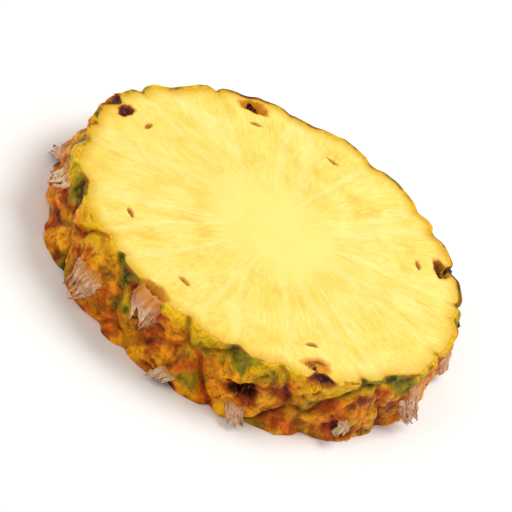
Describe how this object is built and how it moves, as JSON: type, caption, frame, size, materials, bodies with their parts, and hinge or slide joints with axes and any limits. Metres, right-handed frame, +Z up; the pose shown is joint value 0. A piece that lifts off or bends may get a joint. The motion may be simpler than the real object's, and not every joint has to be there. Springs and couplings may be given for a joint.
{
  "type": "pineapple slice",
  "caption": "Round slice of ripe pineapple, cut straight across with its core in and its rind on, with knobbly eyes and dry bracts round the side.",
  "frame": {"origin": "on the fruit's axis, at the lower cut face that the slice lies on", "axes": "+Z up along the fruit's axis, out of the upper cut face; -Y towards the viewer of the picture; +X to the right"},
  "size_m": [0.1262, 0.1218, 0.0205],
  "materials": {
    "flesh": "moist yellow fruit flesh, soft sheen",
    "rind": "waxy golden-brown and olive skin",
    "bract": "dry, papery tan"
  },
  "bodies": {
    "root": {"pineapple_slice": "flesh"}
  },
  "joints": []
}
